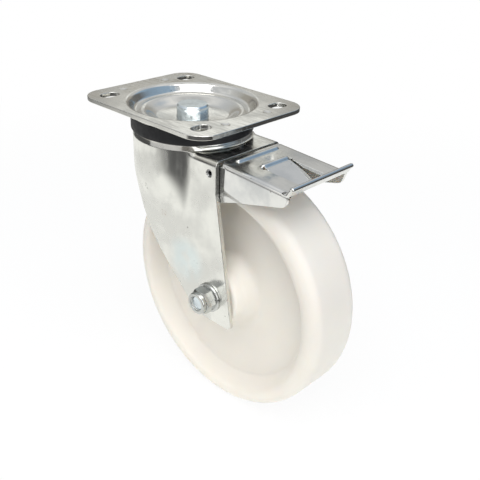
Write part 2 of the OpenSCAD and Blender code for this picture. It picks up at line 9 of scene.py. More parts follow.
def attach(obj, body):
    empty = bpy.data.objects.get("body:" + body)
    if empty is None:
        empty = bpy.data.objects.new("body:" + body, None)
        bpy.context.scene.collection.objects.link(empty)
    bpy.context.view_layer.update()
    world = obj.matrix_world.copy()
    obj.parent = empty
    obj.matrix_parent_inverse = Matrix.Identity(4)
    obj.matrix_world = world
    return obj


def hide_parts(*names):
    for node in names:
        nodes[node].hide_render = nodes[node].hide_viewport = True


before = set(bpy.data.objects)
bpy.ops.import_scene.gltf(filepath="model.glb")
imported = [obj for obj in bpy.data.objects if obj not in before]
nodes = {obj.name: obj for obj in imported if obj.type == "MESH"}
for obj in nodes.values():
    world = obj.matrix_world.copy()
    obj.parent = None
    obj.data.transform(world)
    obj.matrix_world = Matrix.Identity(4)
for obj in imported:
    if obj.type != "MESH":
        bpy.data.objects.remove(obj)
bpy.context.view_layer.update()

# Top plate
# One steel pressing, 3.5 mm thick and bright zinc plated. A flat rim with four bolt slots
# surrounds a dish whose crest rides on the upper balls and whose floor holds the kingpin.
MM = 0.001
plate_w, plate_l, plate_t = 114.0, 140.0, 3.5
plate_corner_r = 17.0
slot_at = (40.0, 52.5)
slot_half, slot_r = 2.5, 5.5
dent_at, dent_r, dent_rise = (22.0, 58.5), 8.0, 7.2
dish_r, dish_hole_r = 52.0, 12.52
crest_z, floor_z = -6.5, -12.0


def ease(t):
    """Smooth step from 0 to 1: three times t squared less twice t cubed, with t held to 0..1."""
    t = np.clip(t, 0, 1)
    return t * t * (3 - 2 * t)


def arc(centre, radius, start, end, count):
    """Points of a circle round a centre, from the start angle to the end angle in degrees."""
    a = np.radians(np.linspace(start, end, count))
    return np.column_stack([centre[0] + radius * np.cos(a), centre[1] + radius * np.sin(a)])


def spread(line, pitch):
    """A line's own corners, with further points about every pitch along its straight stretches."""
    line = np.asarray(line, float)
    run = np.concatenate([[0], np.cumsum(np.linalg.norm(np.diff(line, axis=0), axis=1))])
    more = np.arange(pitch, run[-1], pitch)
    more = more[np.abs(more[:, None] - run).min(axis=1) > pitch / 3]
    t = np.sort(np.concatenate([run, more]))
    return np.column_stack([np.interp(t, run, line[:, k]) for k in range(2)])


def lattice(low, high, pitch):
    """Points of a flat grid between two corners, with every other row moved by half a pitch."""
    u, v = np.meshgrid(np.arange(low[0], high[0], pitch[0]), np.arange(low[1], high[1], pitch[1]))
    u = u + pitch[0] / 2 * (np.arange(len(u)) % 2)[:, None]
    return np.column_stack([u.ravel(), v.ravel()])


def inside(points, loop):
    """Even-odd rule: a point is inside where a line from it along +u crosses the loop an odd number
    of times."""
    a, b = loop, np.roll(loop, -1, axis=0)
    u, v = points[:, :1], points[:, 1:]
    spans = (a[:, 1] > v) != (b[:, 1] > v)
    rise = np.where(a[:, 1] == b[:, 1], 1, b[:, 1] - a[:, 1])
    return (spans & (u < a[:, 0] + (v - a[:, 1]) * (b[:, 0] - a[:, 0]) / rise)).sum(axis=1) % 2 == 1


def blank(outline, holes, filling, clear):
    """A flat blank as it leaves the cutting tool: Delaunay triangles of the outline, the holes and
    those filling points that lie in the metal, at least clear from every edge."""
    loops = [np.asarray(loop) for loop in [outline, *holes]]
    edge_points = np.vstack(loops)
    metal = inside(filling, loops[0])
    for hole in loops[1:]:
        metal &= ~inside(filling, hole)
    filling = filling[metal]
    far = np.linalg.norm(filling[:, None] - edge_points[None], axis=2).min(axis=1) > clear
    starts = np.cumsum([0] + [len(loop) for loop in loops[:-1]])
    edges = np.vstack([np.column_stack([np.arange(len(p)), np.roll(np.arange(len(p)), -1)]) + s
                       for p, s in zip(loops, starts)])
    flat, _, faces, *_ = delaunay_2d_cdt(np.vstack([edge_points, filling[far]]).tolist(),
                                         edges.tolist(), [], 0, 1e-6)
    flat, faces = np.array(flat), np.array(faces)
    middle = flat[faces].mean(axis=1)
    metal = inside(middle, loops[0])
    for hole in loops[1:]:
        metal &= ~inside(middle, hole)
    return flat, faces[metal]


def weld(points, faces):
    """Joins points in the same cell of 0.01 mm, on four grids each moved by a quarter cell so that no
    pair stays apart across a cell's edge, and drops faces that vanish."""
    for off_grid in (0.0007, 0.0032, 0.0057, 0.0082):
        _, first, index = np.unique(np.round(points + off_grid, 2), axis=0, return_index=True,
                                    return_inverse=True)
        points, faces = points[first], index.reshape(-1)[faces]
    whole = (faces != np.roll(faces, 1, axis=1)).all(axis=1)
    return points, faces[whole]


def normals_of(points, faces):
    """Unit normal at each point: the sum of the cross products of its triangles' sides."""
    a, b, c = (points[faces[:, k]] for k in range(3))
    total = np.zeros_like(points)
    for k in range(3):
        np.add.at(total, faces[:, k], np.cross(b - a, c - a))
    return total / np.linalg.norm(total, axis=1, keepdims=True)


def sheet(points, faces, thickness, edge):
    """Gives a skin the sheet's thickness along its normals and closes its cut edges with rims, whose
    section is a straight wall between two quarter rounds of radius edge."""
    normal = normals_of(points, faces)
    sides = np.vstack([faces[:, [0, 1]], faces[:, [1, 2]], faces[:, [2, 0]]])
    _, index, count = np.unique(np.sort(sides, axis=1), axis=0, return_inverse=True, return_counts=True)
    cut = sides[count[index.reshape(-1)] == 1]
    before, place = np.zeros(len(points), int), np.zeros(len(points), int)
    before[cut[:, 1]], place[cut[:, 0]] = cut[:, 0], np.arange(len(cut))
    at = cut[:, 0]
    out = np.cross(points[cut[:, 1]] - points[before[at]], normal[at])
    out = out / np.linalg.norm(out, axis=1, keepdims=True)
    points = points.copy()
    points[at] -= edge * out
    under = points - thickness * normal
    a = np.radians([30, 60, 90])[:, None, None]
    top_rows = points[at] + edge * (np.sin(a) * out - (1 - np.cos(a)) * normal[at])
    low_rows = (under[at] + edge * (np.sin(a) * out + (1 - np.cos(a)) * normal[at]))[::-1]
    lean = np.concatenate([np.cos(a) * normal[at] + np.sin(a) * out,
                           (np.sin(a) * out - np.cos(a) * normal[at])[::-1]])
    levels = 2 * len(points) + np.arange(6 * len(at)).reshape(6, -1)
    levels = np.vstack([at, levels, at + len(points)])
    i, j = place[cut[:, 1]], place[at]
    rims = [np.column_stack(c) for r, s in zip(levels[:-1], levels[1:])
            for c in ((r[i], r[j], s[j]), (r[i], s[j], s[i]))]
    return (np.vstack([points, under, top_rows.reshape(-1, 3), low_rows.reshape(-1, 3)]),
            np.vstack([faces, faces[:, ::-1] + len(points), *rims]),
            np.vstack([normal, -normal, lean.reshape(-1, 3)]))


def piece(name, points, faces, finish, body, node, slot, crease=35, normals=None):
    """Puts points in millimetres and triangles into a smooth mesh that stands for a node of the frame."""
    mesh = bpy.data.meshes.new(name)
    mesh.from_pydata((points * MM).tolist(), [], faces.tolist())
    mesh.polygons.foreach_set("use_smooth", np.ones(len(faces), bool))
    if normals is None:
        mesh.set_sharp_from_angle(angle=math.radians(crease))
    else:
        mesh.normals_split_custom_set_from_vertices(normals.tolist())
    mesh.materials.append(finish)
    obj = bpy.data.objects.new(name, mesh)
    bpy.context.scene.collection.objects.link(obj)
    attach(obj, body)
    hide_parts(node)


def shader(name):
    """A new material with its node tree and its main shader."""
    finish = bpy.data.materials.new(name)
    finish.use_nodes = True
    return finish, finish.node_tree, finish.node_tree.nodes["Principled BSDF"]


def add(tree, kind, values=None, **settings):
    """One shader node: values fill its inputs, as numbers or as links from other nodes' outputs."""
    made = tree.nodes.new("ShaderNode" + kind)
    for key, value in settings.items():
        setattr(made, key, value)
    for key, value in (values or {}).items():
        if isinstance(value, bpy.types.NodeSocket):
            tree.links.new(value, made.inputs[key])
        else:
            made.inputs[key].default_value = value
    return made


def grain(tree, scale, detail=3.0, stretch=(1, 1, 1)):
    """Noise on the piece's own coordinates, in cells per metre, drawn out where stretch is small."""
    place = add(tree, "TexCoord").outputs["Object"]
    place = add(tree, "Mapping", {"Vector": place, "Scale": stretch}).outputs[0]
    return add(tree, "TexNoise", {"Vector": place, "Scale": scale, "Detail": detail}).outputs["Fac"]


def between(tree, value, low, high, to_low, to_high):
    """Carries a value from one span to another, with soft ends."""
    return add(tree, "MapRange", {"Value": value, "From Min": low, "From Max": high, "To Min": to_low,
                                  "To Max": to_high}, interpolation_type="SMOOTHSTEP").outputs[0]


def tinted(tree, share, first, second):
    """Mixes two colours, each a colour or a link, by a share."""
    mix = add(tree, "Mix", {0: share}, data_type="RGBA")
    for slot, value in ((6, first), (7, second)):
        if isinstance(value, bpy.types.NodeSocket):
            tree.links.new(value, mix.inputs[slot])
        else:
            mix.inputs[slot].default_value = (*value, 1)
    return mix.outputs[2]


def zinc(name, pale, dull, rough, wave):
    """Bright zinc on pressed steel: clouds between two greys, faint wipes along the sheet, a fine
    speckle, dark specks, uneven gloss, and a surface that is never quite flat."""
    finish, tree, surface = shader(name)
    cloud = grain(tree, 38, 5)
    wipe = grain(tree, 420, 2, (1, 0.12, 0.12))
    speckle = grain(tree, 1500, 2)
    colour = tinted(tree, between(tree, cloud, 0.36, 0.66, 0, 1), pale, dull)
    colour = tinted(tree, between(tree, wipe, 0.58, 0.75, 0, 0.25), colour, dull)
    specks = add(tree, "TexVoronoi", {"Vector": add(tree, "TexCoord").outputs["Object"], "Scale": 150.0})
    spot = between(tree, specks.outputs["Distance"], 0.05, 0.13, 1, 0)
    some = between(tree, grain(tree, 70, 2), 0.56, 0.62, 0, 0.6)
    spot = add(tree, "Math", {0: spot, 1: some}, operation="MULTIPLY").outputs[0]
    colour = tinted(tree, spot, colour, (0.16, 0.15, 0.13))
    tree.links.new(colour, surface.inputs["Base Color"])
    gloss = add(tree, "Math", {0: cloud, 1: wipe}, operation="ADD").outputs[0]
    tree.links.new(between(tree, gloss, 0.75, 1.25, rough - 0.07, rough + 0.1), surface.inputs["Roughness"])
    surface.inputs["Metallic"].default_value = 1.0
    buckle = add(tree, "Bump", {"Height": grain(tree, 30, 1), "Strength": wave, "Distance": 0.002})
    skin = add(tree, "Bump", {"Height": speckle, "Strength": 0.12, "Distance": 0.0001,
                              "Normal": buckle.outputs[0]})
    tree.links.new(skin.outputs[0], surface.inputs["Normal"])
    return finish


dish_line = np.vstack([
    arc((dish_r, -4.0), 4.0, 90, 150, 14),
    arc((43.8, -4.2), 3.0, -30, -90, 12),
    [(43.8 - 4.3 * t, -7.2 + 0.7 * ease(t)) for t in np.linspace(0.1, 1, 10)],
    [(39.0 - 12.0 * t, crest_z + (floor_z - crest_z) * (1 - math.cos(math.pi * t)) / 2)
     for t in np.linspace(0, 1, 20)],
    [(17.3, floor_z), (16.8, floor_z - 0.5), (dish_hole_r, floor_z - 0.5)]])[::-1]
corners = [(-1, -1), (1, -1), (1, 1), (-1, 1)]


def plate_top(x, y):
    """Height of the plate: the dish's section by the distance from the swivel axis, less four dents."""
    z = np.interp(np.hypot(x, y), dish_line[:, 0], dish_line[:, 1])
    off = np.hypot(np.abs(x) - dent_at[0], np.abs(y) - dent_at[1])
    dent = dent_rise - np.sqrt(np.maximum(dent_r ** 2 - off ** 2, 0))
    return np.column_stack([x, y, np.where(off < dent_r, np.minimum(z, dent), z)])


inner_w, inner_l = plate_w / 2 - plate_corner_r, plate_l / 2 - plate_corner_r
plate_line = np.vstack([arc((i * inner_w, j * inner_l), plate_corner_r, 45 * k, 45 * k + 90, 12)
                        for (i, j), k in zip(corners, (4, 6, 0, 2))])
plate_line = spread(np.vstack([plate_line, plate_line[:1]]), 4.0)[:-1]
slots = [np.vstack([arc((i * slot_at[0] + slot_half, j * slot_at[1]), slot_r, -90, 90, 14),
                    arc((i * slot_at[0] - slot_half, j * slot_at[1]), slot_r, 90, 270, 14)])
         for i, j in corners]
dish_rings = np.unique(np.concatenate([spread(dish_line[3:], 0.9)[:, 0], [53.0, 54.5, 56.5]]))
turn = np.arange(0, 2 * np.pi, np.pi / 96)
rings = np.concatenate([np.column_stack([r * np.cos(turn), r * np.sin(turn)]) for r in dish_rings])
rim = lattice((-plate_w / 2, -plate_l / 2), (plate_w / 2, plate_l / 2), (4.0, 3.5))
rim = rim[np.hypot(*rim.T) > 58.5]
dents = np.concatenate([arc((i * dent_at[0], j * dent_at[1]), r, 0, 345, 24)
                        for i, j in corners for r in (0.8, 1.6, 2.3, 2.9, 3.3, 3.5, 3.8, 4.4)])
rim = rim[np.linalg.norm(rim[:, None] - dents, axis=2).min(axis=1) > 1.2]
flat, faces = blank(plate_line, [*slots, arc((0, 0), dish_hole_r, 0, 356, 90)],
                    np.vstack([rings, rim, dents]), 0.5)
zinc_plate = zinc("zinc_plate", (0.82, 0.81, 0.77), (0.72, 0.72, 0.69), 0.15, 0.03)
points, faces, normals = sheet(plate_top(*flat.T), faces, plate_t, 0.5)
piece("plate_pressing", points, faces, zinc_plate, "plate", "top_plate", "zinc_sheet", normals=normals)

# Kingpin
# A steel pin turned from bar and riveted under the lower race. Its bevelled top stands in
# the middle of the dish, and its side is polished by the lathe.
pin_r, pin_top_z, pin_edge = 12.5, -2.5, 1.2
pin_head_r, pin_shoulder_z, pin_foot_z = 20.5, -29.0, -33.0


def grid_faces(rows, cols, closed_rows=False):
    """Two triangles for each cell of a grid that is counted row by row and closes along its rows."""
    i = np.arange(rows if closed_rows else rows - 1)[:, None]
    j = np.arange(cols)[None]
    a, b = i * cols + j, i * cols + (j + 1) % cols
    d, c = ((i + 1) % rows) * cols + j, ((i + 1) % rows) * cols + (j + 1) % cols
    return np.concatenate([np.stack(t, -1).reshape(-1, 3) for t in ((a, b, c), (a, c, d))])


def outwards(points, faces):
    """Turns a closed surface right side out, by the sign of the volume that its triangles sum to."""
    a, b, c = (points[faces[:, k]] for k in range(3))
    return faces if (a * np.cross(b, c)).sum() > 0 else faces[:, ::-1]


def turned(profile, segments, centre=(0.0, 0.0, 0.0), along_x=False, closed=False):
    """Carries a profile of (radius, height) round a circle, about Z or, lying down, about X."""
    a = np.linspace(0, 2 * np.pi, segments, endpoint=False)
    r, h = (np.asarray(profile, float)[:, k, None] for k in range(2))
    ring, side, up = r * np.cos(a), r * np.sin(a), h + 0 * a
    parts = (up, ring, side) if along_x else (ring, side, up)
    points = np.stack(parts, -1).reshape(-1, 3) + centre
    points, faces = weld(points, grid_faces(len(profile), segments, closed))
    return points, outwards(points, faces)


def steel(name, colour, worn, rough):
    """Turned steel with a thin bright plating: fine rings of the tool and a little uneven gloss."""
    finish, tree, surface = shader(name)
    cloud = grain(tree, 130, 4)
    tree.links.new(tinted(tree, between(tree, cloud, 0.4, 0.7, 0, 1), colour, worn),
                   surface.inputs["Base Color"])
    tree.links.new(between(tree, grain(tree, 600, 3), 0.35, 0.65, rough - 0.05, rough + 0.08),
                   surface.inputs["Roughness"])
    surface.inputs["Metallic"].default_value = 1.0
    marks = add(tree, "Bump", {"Height": grain(tree, 900, 2), "Strength": 0.1, "Distance": 0.0001})
    tree.links.new(marks.outputs[0], surface.inputs["Normal"])
    return finish


bright_steel = steel("bright_steel", (0.72, 0.79, 0.83), (0.62, 0.68, 0.72), 0.15)
pin_line = np.vstack([
    [(0, pin_top_z), (6, pin_top_z), (pin_r - pin_edge - 0.6, pin_top_z)],
    arc((pin_r - pin_edge - 0.1, pin_top_z - 0.25), 0.25, 90, 45, 4),
    arc((pin_r - 0.25, pin_top_z - pin_edge - 0.1), 0.25, 45, 0, 4),
    [(pin_r, pin_top_z - pin_edge - 0.6), (pin_r, pin_top_z - 6), (pin_r, floor_z)],
    [(pin_r, pin_shoulder_z), (pin_head_r, pin_shoulder_z)],
    [(pin_head_r, pin_foot_z + 1.5), (pin_head_r - 1.5, pin_foot_z), (0, pin_foot_z)]])
piece("kingpin_turning", *turned(pin_line, 96), bright_steel, "plate", "kingpin", "bright_steel", 30)

# Balls and lower race
# Two rings of hardened steel balls run above and below the fork's crown, and a cup of
# pressed steel, held by the kingpin's head, carries the lower ring.
ball_steel = steel("ball_steel", (0.70, 0.72, 0.75), (0.62, 0.64, 0.68), 0.08)


def dress(finish, *names):
    """Gives nodes of the frame their finish."""
    for name in names:
        nodes[name].data.materials.clear()
        nodes[name].data.materials.append(finish)


dress(ball_steel, "upper_balls", "lower_balls")
dress(zinc_plate, "lower_race_cup")

# Fork
# One deep pressing of 3.5 mm zinc-plated steel. A round crown carries the balls, and its
# skirt's bulge fades down into two flat legs, with a ledge bent over behind the crown.
fork_t, leg_half, crown_r, crown_z = 3.5, 34.0, 47.0, -17.5
ledge_z, ledge_rear, bend_r, fold_r = -24.5, 61.6, 4.0, 15.0
fold_lag, fold_draw = 4.0, 9.0
fade_top, fade_end = -42.0, -118.0
trail, axle_z = 56.0, -140.0
pivot_at, pivot_r, axle_hole_r = (54.5, -35.1), 3.02, 6.05
crown_hole_r, boss_fillet = 17.5, 2.2
race_at, race_r = (40.0, -14.5), 4.52
fold_c = (math.sqrt((crown_r + fold_r) ** 2 - (leg_half + fold_r) ** 2), leg_half + fold_r)
fold_a = math.degrees(math.atan2(fold_c[1], fold_c[0]))


def bezier(p, q, r, s, count):
    """Cubic curve from p to s with the handles q and r, without its last point."""
    t = np.linspace(0, 1, count, endpoint=False)[:, None]
    p, q, r, s = (np.asarray(k, float) for k in (p, q, r, s))
    return (1 - t) ** 3 * p + 3 * (1 - t) ** 2 * t * q + 3 * (1 - t) * t * t * r + t ** 3 * s


plan = np.vstack([arc((0, 0), crown_r, 180, fold_a, 400), arc(fold_c, fold_r, fold_a - 180, -90, 80)[1:],
                  [(95.0, leg_half)]])
plan_run = np.concatenate([[0], np.cumsum(np.linalg.norm(np.diff(plan, axis=0), axis=1))])
fold_run = np.interp(crown_r * math.cos(math.radians(fold_a)), plan[:, 0], plan_run)
fold_s = crown_r * math.cos(math.radians(fold_a))
bend_run = bend_r * math.pi / 2


def fork_wall(run, down):
    """Skirt and legs: run goes round the plan from the middle of the front, and down goes from the
    ledge over its bend. What the skirt stands out past the flat leg is multiplied by a share that
    eases from 1 at fade_top to 0 at fade_end."""
    s = np.interp(np.abs(run), plan_run, plan[:, 0])
    x = np.interp(np.abs(run), plan_run, plan[:, 1])
    draw = ease((s - fold_s - fold_lag) / fold_draw)
    a = np.clip(down / bend_r, 0, math.pi / 2)
    z = ledge_z - bend_r * ((1 - np.cos(a)) * draw + a / (math.pi / 2) * (1 - draw))
    z = z - np.maximum(down - bend_run, 0)
    share = 1 - ease((fade_top - z) / (fade_top - fade_end))
    x = x - np.maximum(x - leg_half, 0) * (1 - share) - bend_r * (1 - np.sin(a)) * draw
    return np.column_stack([np.sign(run) * x, -s, z])


def on_wall(line):
    """A line in (trail, height) laid on the wall, as (run, down)."""
    line = np.asarray(line)
    return np.column_stack([np.interp(line[:, 0], plan[:, 0], plan_run),
                            ledge_z - bend_r + bend_run - line[:, 1]])


front_dir = np.array([math.cos(math.radians(43.6)), -math.sin(math.radians(43.6))])
front_start, front_corner = np.array([-0.17, -122.1]), np.array([40.64, -161.0])
rear_top, rear_foot = np.array([ledge_rear, -49.5]), np.array([80.58, -161.0])
rear_dir = (rear_foot - rear_top) / np.linalg.norm(rear_foot - rear_top)
waist, waist_dir = np.array([-19.0, -78.0]), np.array([2.0, -20.0])
skirt_foot_z = -43.0
leg_line = np.vstack([
    bezier((-48, skirt_foot_z), (-29, skirt_foot_z), waist - waist_dir, waist, 26)[1:],
    bezier(waist, waist + waist_dir, front_start - 15 * front_dir, front_start, 18),
    spread([front_start, front_corner - 9 * front_dir], 2.5)[:-1],
    bezier(front_corner - 9 * front_dir, front_corner - 2.2 * front_dir, front_corner + (2.2, 0),
           front_corner + (9, 0), 8),
    spread([front_corner + (9, 0), rear_foot - (7, 0)], 2.5)[:-1],
    bezier(rear_foot - (7, 0), rear_foot - (1.7, 0), rear_foot - 1.7 * rear_dir, rear_foot - 7 * rear_dir, 8),
    spread([rear_foot - 7 * rear_dir, rear_top, (ledge_rear, ledge_z - bend_r)], 2.5)])
leg_line = leg_line[leg_line[:, 0] > -crown_r]
half_line = np.vstack([[(0.0, on_wall([(-crown_r, skirt_foot_z)])[0, 1])], on_wall(leg_line)])
rear_run = half_line[-1, 0]
skirt_runs = np.linspace(0, fold_run, 56)
leg_runs = np.linspace(fold_run, rear_run, 14)
top_runs = np.concatenate([skirt_runs, leg_runs[1:]])
side_down = np.linspace(bend_run, 0, 6)
right = np.vstack([half_line, np.column_stack([0 * side_down[1:] + rear_run, side_down[1:]])])
top_line = np.column_stack([top_runs[::-1], 0 * top_runs])[1:]
left = np.column_stack([-right[::-1, 0], right[::-1, 1]])
wall_line = np.vstack([right, top_line, [(-r, 0.0) for r in top_runs[1:-1]], left[:-1]])
holes = [on_wall(arc(at, r, 0, 345, 24)) * (sign, 1) for at, r in
         ((pivot_at, pivot_r), ((trail, axle_z), axle_hole_r)) for sign in (1, -1)]
wall_fill = np.vstack([lattice((-rear_run - 25, bend_run + 1), (rear_run + 25, 145), (2.2, 2.0)),
                       lattice((-rear_run, 0.9), (rear_run, bend_run + 0.5), (2.2, 0.9))])
flat, wall_faces = blank(wall_line, holes, wall_fill, 0.75)
wall = fork_wall(*flat.T)

rear_a = np.linspace(-fold_a, fold_a, 49)
front_a = np.degrees(skirt_runs / crown_r)
round_a = np.concatenate([rear_a[:-1], 180 - front_a[::-1][:-1], 180 + front_a[:-1]])
fillet = boss_fillet * ease((fold_a - np.abs((round_a + 180) % 360 - 180)) / 24)
boss_line = np.vstack([[(crown_hole_r, crown_z), (crown_hole_r + 1, crown_z), (30, crown_z)],
                       arc(race_at, race_r, 222, 310, 9),
                       arc((0, 0), 1, 68, 28, 8) * (5.5, 8.0) + (41.5, -25.5)])
foot = arc((1, 1), 1, 180, 270, 7)
boss_radius = np.vstack([boss_line[:, :1] + 0 * fillet, crown_r + fillet * foot[:, :1]])
boss_height = np.vstack([boss_line[:, 1:] + 0 * fillet, ledge_z + fillet * foot[:, 1:]])
round_r = np.radians(round_a)
boss = np.stack([boss_radius * np.sin(round_r), -boss_radius * np.cos(round_r), boss_height],
                -1).reshape(-1, 3)
boss_faces = grid_faces(len(boss_radius), len(round_a))[:, ::-1]

leg_top = fork_wall(leg_runs, 0 * leg_runs)[:, [1, 0]] * (-1, 1)
rear_x = np.linspace(leg_top[-1, 1], -leg_top[-1, 1], 22)[1:-1]
rear_ring = np.radians(rear_a[1:-1])
rear_fillet = crown_r + boss_fillet * ease((fold_a - np.abs(rear_a[1:-1])) / 24)
ledge_line = np.vstack([leg_top, np.column_stack([0 * rear_x + ledge_rear, rear_x]), leg_top[::-1] * (1, -1),
                        np.column_stack([rear_fillet * np.cos(rear_ring), rear_fillet * np.sin(rear_ring)])])
flat, ledge_faces = blank(ledge_line, [], lattice((28, -34), (62, 34), (2.4, 2.4)), 1.0)
ledge = np.column_stack([flat[:, 1], -flat[:, 0], 0 * flat[:, 0] + ledge_z])
points, faces = weld(np.vstack([wall, boss, ledge]), np.vstack([
    wall_faces, boss_faces + len(wall), ledge_faces + len(wall) + len(boss)]))
zinc_fork = zinc("zinc_fork", (0.83, 0.83, 0.79), (0.70, 0.70, 0.67), 0.19, 0.07)


def mark(finish, centre, radius, scale, start, full, colour):
    """Wear on a finish: within a radius of a centre in millimetres, a colour shows where noise of so
    many cells per metre passes from start to full."""
    tree = finish.node_tree
    surface = tree.nodes["Principled BSDF"].inputs["Base Color"]
    place = add(tree, "TexCoord").outputs["Object"]
    off = add(tree, "VectorMath", {0: place, 1: [c * MM for c in centre]},
              operation="DISTANCE").outputs["Value"]
    near = between(tree, off, 0.4 * radius * MM, radius * MM, 1, 0)
    share = add(tree, "Math", {0: near, 1: between(tree, grain(tree, scale, 3), start, full, 0, 0.6)},
                operation="MULTIPLY").outputs[0]
    tree.links.new(tinted(tree, share, surface.links[0].from_socket, colour), surface)


mark(zinc_fork, (-34, -29, -117), 24, 60, 0.25, 0.6, (0.68, 0.78, 0.80))
mark(zinc_fork, (-37, -10, -80), 6, 1100, 0.56, 0.62, (0.30, 0.17, 0.09))
mark(zinc_fork, (-44, 8, -62), 9, 500, 0.6, 0.66, (0.25, 0.24, 0.22))
points, faces, normals = sheet(points, faces, fork_t, 0.4)
piece("fork_pressing", points, faces, zinc_fork, "fork", "fork", "zinc_sheet", normals=normals)

# Dust seal
# A moulded ring of black plastic that sits on the crown's edge and closes the gap under
# the plate against dust and water.
seal_r, seal_in_r, seal_foot_z = 48.4, 46.77, -20.0


def plastic(name, colour, second, rough, speck):
    """Moulded plastic: clouds between two near shades and a fine even mould grain."""
    finish, tree, surface = shader(name)
    tree.links.new(tinted(tree, between(tree, grain(tree, 60, 3), 0.35, 0.7, 0, 1), colour, second),
                   surface.inputs["Base Color"])
    tree.links.new(between(tree, grain(tree, 220, 3), 0.3, 0.7, rough - 0.06, rough + 0.08),
                   surface.inputs["Roughness"])
    skin = add(tree, "Bump", {"Height": grain(tree, speck, 2), "Strength": 0.15, "Distance": 0.0001})
    tree.links.new(skin.outputs[0], surface.inputs["Normal"])
    return finish


seal_plastic = plastic("seal_plastic", (0.005, 0.0055, 0.008), (0.009, 0.010, 0.013), 0.55, 1800)
seal_rise = np.linspace(seal_r, 45.2, 6)
seal_line = np.vstack([
    [(seal_in_r, -18.6), (seal_in_r, seal_foot_z)], arc((seal_r - 0.7, seal_foot_z + 0.7), 0.7, -90, 0, 5),
    [(seal_r, -16.0)], np.column_stack([seal_rise, -4.5 - np.sqrt(6.5 ** 2 - (seal_rise - 43.8) ** 2)]),
    [(45.15, -17.4)]])
piece("seal_moulding", *turned(seal_line, 128, closed=True), seal_plastic, "fork", "dust_seal",
      "seal_plastic")

# Pivot pin
# A slotted spring pin of rolled steel, driven through both legs and set in a little from
# their faces. The pedal's ears turn on it.
pin_steel = steel("pin_steel", (0.42, 0.43, 0.44), (0.30, 0.30, 0.31), 0.3)
dress(pin_steel, "pivot_pin")

# Brake pedal
# A channel folded from 2.6 mm zinc-plated sheet. Two ribs stiffen its top, a tongue is cut
# out and bent down to bear on the tread, and joggled ears hang from the pivot pin.
pedal_t, pedal_half, pedal_bend, pedal_l = 2.6, 32.4, 3.2, 61.5
pedal_start, pedal_tilt = np.array([64.2, -24.8]), math.radians(3.1)
rib_r, rib_sink, ribs = 2.3, 0.4, ((6.0, 20.0), (23.0, 12.0))
tongue_root, tongue_half, tongue_l, tongue_fall = 25.5, 13.0, 30.0, math.radians(15)
tongue_bend, cut_w, cut_end, relief_r = 8.0, 1.2, 2.0, 1.7
joggle, joggle_w, wedge_w = 2.4, 3.0, 8.0
flat_half = pedal_half - pedal_bend
fold_girth = pedal_bend * math.pi / 2
along = np.array([math.cos(pedal_tilt), -math.sin(pedal_tilt)])
above = np.array([math.sin(pedal_tilt), math.cos(pedal_tilt)])


def on_cheek(line):
    """A line in (trail, height) laid on the unfolded cheek, as (girth, length)."""
    line = np.asarray(line, float) - pedal_start
    return np.column_stack([flat_half + fold_girth - pedal_bend - line @ above, line @ along])


cheek_step, cheek_low = on_cheek([(65.2, -45.0), (86.2, -49.0)])


def pedal_skin(girth, length):
    """The unfolded pedal pressed to shape: a flat top, quarter-round folds and upright cheeks, with
    ribs as half-round bars, the tongue turned down past its root, and a soft inward step in front
    of and below the cheeks."""
    g, sign = np.abs(girth), np.sign(girth)
    a = np.clip((g - flat_half) / pedal_bend, 0, math.pi / 2)
    x = np.minimum(g, flat_half) + pedal_bend * np.sin(a)
    n = -pedal_bend * (1 - np.cos(a)) - np.maximum(g - flat_half - fold_girth, 0)
    run = (cheek_low - cheek_step) / np.linalg.norm(cheek_low - cheek_step)
    below = (g - cheek_step[0]) * run[1] - (length - cheek_step[1]) * run[0]
    step = np.maximum(1 + (cheek_step[1] - length) / joggle_w, (below + joggle_w) / wedge_w)
    x = x - joggle * ease(step) * (g > flat_half + fold_girth)
    for at, half in ribs:
        off = np.hypot(np.maximum(g - half, 0), length - at)
        n = n + np.maximum(np.sqrt(np.maximum(rib_r ** 2 - off ** 2, 0)) - rib_sink, 0) * (g < 26)
    on_tongue = (g < tongue_half + cut_w / 2) & (length < tongue_root + tongue_l + 1)
    t = np.where(on_tongue, length - tongue_root, 0)
    turn_a = np.clip(t / tongue_bend, 0, tongue_fall)
    straight = np.maximum(t - tongue_bend * tongue_fall, 0)
    n = n - np.where(t > 0, tongue_bend * (1 - np.cos(turn_a)) + straight * math.sin(tongue_fall), 0)
    v = np.where(t > 0, tongue_root + tongue_bend * np.sin(turn_a) + straight * math.cos(tongue_fall), length)
    s, z = (pedal_start + v[:, None] * along + n[:, None] * above).T
    return np.column_stack([sign * x, -s, z])


ear = arc(pivot_at, 6.3, 90, 188, 14)
cheek_line = on_cheek(np.vstack([
    spread([(66.4, -28.8), (57.0, -28.8)], 1.6), ear, spread([ear[-1], (55.9, -55.5)], 1.6)[1:],
    bezier((55.9, -55.5), (57.0, -58.4), (58.0, -58.8), (60.4, -57.7), 6)[1:],
    spread([(60.4, -57.7), (85.2, -49.4), (87.0, -48.8), (120.36, -40.07)], 1.6)[:-1],
    bezier((120.36, -40.07), (123.99, -39.12), (125.4, -38.21), (126.0, -36.43), 7),
    spread([(126.0, -36.43), (127.68, -31.5)], 1.6)]))
pedal_edge = np.vstack([
    spread([(0.0, 0.0), (27.5, 0.0)], 1.6), arc((28.2, 1.6), 1.6, -90, -30, 4)[1:],
    spread([(30.4, 1.6), (flat_half + fold_girth, 2.2)], 1.0), cheek_line,
    spread([cheek_line[-1], (flat_half + 0.9, pedal_l + 3.1)], 1.2)[1:],
    [(flat_half + 0.5, pedal_l + 1.4)],
    spread([(flat_half - 0.4, pedal_l + 0.3), (0.0, pedal_l + 0.3)], 1.6)])
pedal_line = np.vstack([pedal_edge, (pedal_edge * (-1, 1))[::-1][1:-1]])
cut_x, cut_v = tongue_half + cut_w, tongue_root + tongue_l
